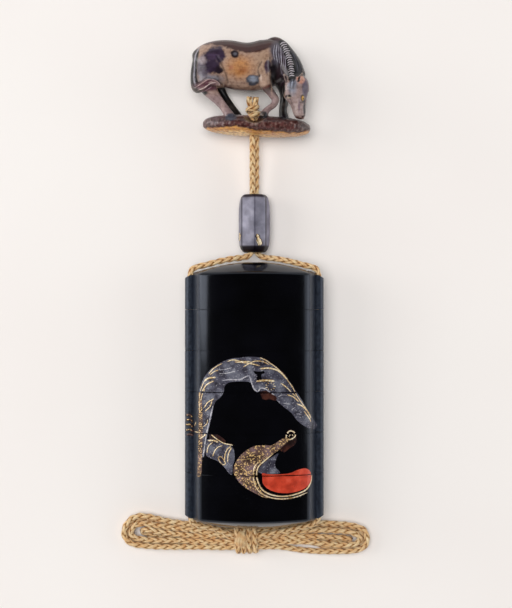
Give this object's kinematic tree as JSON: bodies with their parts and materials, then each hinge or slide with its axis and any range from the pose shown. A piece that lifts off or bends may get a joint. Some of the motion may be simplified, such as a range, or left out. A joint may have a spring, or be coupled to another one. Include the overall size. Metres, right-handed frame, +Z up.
{
  "type": "inro with bead and carved toggle",
  "caption": "Lacquered inro of a lid and stacked trays with tube runners, strung on a braided cord with a sliding bead and a carved horse toggle, lying on its back.",
  "frame": {"origin": "on the table, under the middle of the object without its cord, midway between the case's foot and the horse's back", "axes": "+Z up out of the case's decorated front, +Y along the case towards the bead and the toggle, +X across the case to the right"},
  "size_m": [0.0915, 0.1876, 0.0237],
  "materials": {
    "black_lacquer": "polished black lacquer",
    "stained_boxwood": "carved, stained and oiled",
    "patinated_copper": "dark patina, satin",
    "silk_braid": "braided",
    "gold_maki_e": "sprinkled gold under lacquer",
    "pewter_powder": "burnished metal powder",
    "red_lacquer": "polished red lacquer"
  },
  "bodies": {
    "root": {"lid": "black_lacquer", "tray_1": "black_lacquer", "tray_2": "black_lacquer", "tray_3": "black_lacquer", "tray_4": "black_lacquer", "tray_5": "black_lacquer", "bead": "patinated_copper", "toggle": "stained_boxwood", "cord_left": "silk_braid", "cord_right": "silk_braid", "cord_knot": "silk_braid", "cord_tie": "silk_braid", "hank_left": "silk_braid", "hank_right": "silk_braid"}
  },
  "joints": []
}
